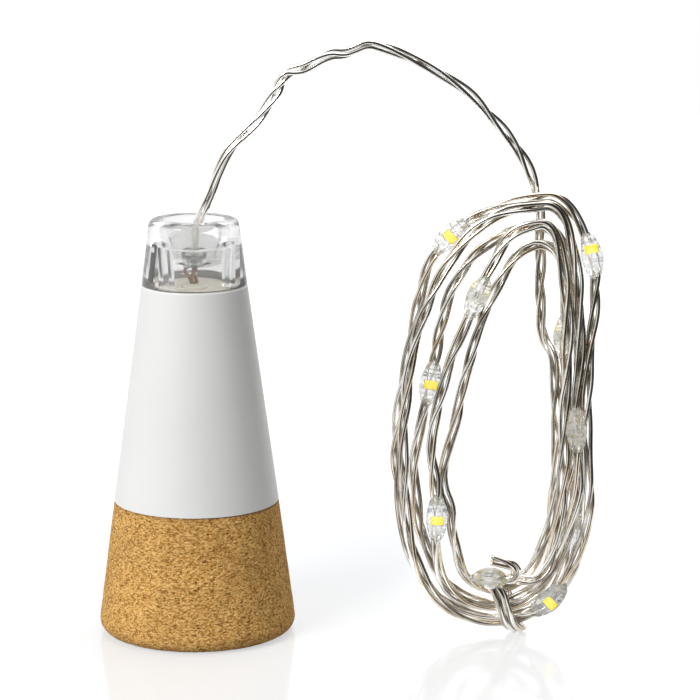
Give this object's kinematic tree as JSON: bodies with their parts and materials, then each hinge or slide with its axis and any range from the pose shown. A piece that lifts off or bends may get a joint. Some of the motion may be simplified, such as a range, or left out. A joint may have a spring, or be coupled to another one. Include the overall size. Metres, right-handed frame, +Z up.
{
  "type": "cork bottle light",
  "caption": "Tapered bottle-stopper light with a cork cap, white body, clear tip and a silver wire light string that arches out and stands beside it in a tied hank.",
  "frame": {"origin": "centre of the cork cap's underside, on the surface that it stands on", "axes": "+Z up along the lamp's axis from cork to clear tip, +X towards the hank, -Y towards the viewer"},
  "size_m": [0.0839, 0.033, 0.1002],
  "materials": {
    "cork": "matt agglomerated cork",
    "insert_plastic": "matt white",
    "white_plastic": "satin white",
    "frame_plastic": "matt off-white",
    "clear_plastic": "polished clear",
    "soft_clear": "soft clear",
    "screw_steel": "zinc plated",
    "board": "green board",
    "plug_steel": "nickel plated",
    "plug_plastic": "matt white",
    "gilt": "gilt",
    "cell_foil": "foil",
    "foam": "foam tape",
    "nickel": "nickel strip",
    "black_resin": "moulded black",
    "capacitor": "fired tan",
    "indicator": "clear red",
    "switch_steel": "folded steel",
    "switch_plastic": "matt black",
    "solder": "tin",
    "copper_wire": "enamelled copper",
    "silver_wire": "silver-plated twisted wire",
    "drop_resin": "clear resin",
    "phosphor": "yellow phosphor"
  },
  "bodies": {
    "cap": {"cork_cap": "cork", "cap_insert": "insert_plastic"},
    "lamp": {"body_shell": "white_plastic", "end_plate": "white_plastic", "core_frame": "frame_plastic", "clear_tip": "clear_plastic", "wire_grommet": "soft_clear", "end_plate_screws": "screw_steel", "circuit_board": "board", "usb_shell": "plug_steel", "usb_tongue": "plug_plastic", "usb_contacts": "gilt", "battery_cell": "cell_foil", "battery_pad": "foam", "battery_tab_positive": "nickel", "battery_tab_negative": "nickel", "charger_ic": "black_resin", "driver_ic": "black_resin", "smd_resistors": "black_resin", "smd_capacitors": "capacitor", "charge_led": "indicator", "switch_housing": "switch_steel", "solder_joints": "solder", "lead_wires": "copper_wire", "string_lead": "silver_wire", "string_coil": "silver_wire", "string_tie": "silver_wire", "led_drop_01": "drop_resin", "led_drop_02": "drop_resin", "led_drop_03": "drop_resin", "led_drop_04": "drop_resin", "led_drop_05": "drop_resin", "led_drop_06": "drop_resin", "led_drop_07": "drop_resin", "led_drop_08": "drop_resin", "led_drop_09": "drop_resin", "led_drop_10": "drop_resin", "led_chip_01": "phosphor", "led_chip_02": "phosphor", "led_chip_03": "phosphor", "led_chip_04": "phosphor", "led_chip_05": "phosphor", "led_chip_06": "phosphor", "led_chip_07": "phosphor", "led_chip_08": "phosphor", "led_chip_09": "phosphor", "led_chip_10": "phosphor"},
    "switch": {"switch_knob": "switch_plastic"}
  },
  "joints": [
    {"name": "body_pull", "type": "slide", "parent": "cap", "child": "lamp", "axis": [0, 0, 1], "range_m": [0, 0.03]},
    {"name": "switch_slide", "type": "slide", "parent": "lamp", "child": "switch", "axis": [1, 0, 0], "range_m": [0, 0.002]}
  ]
}
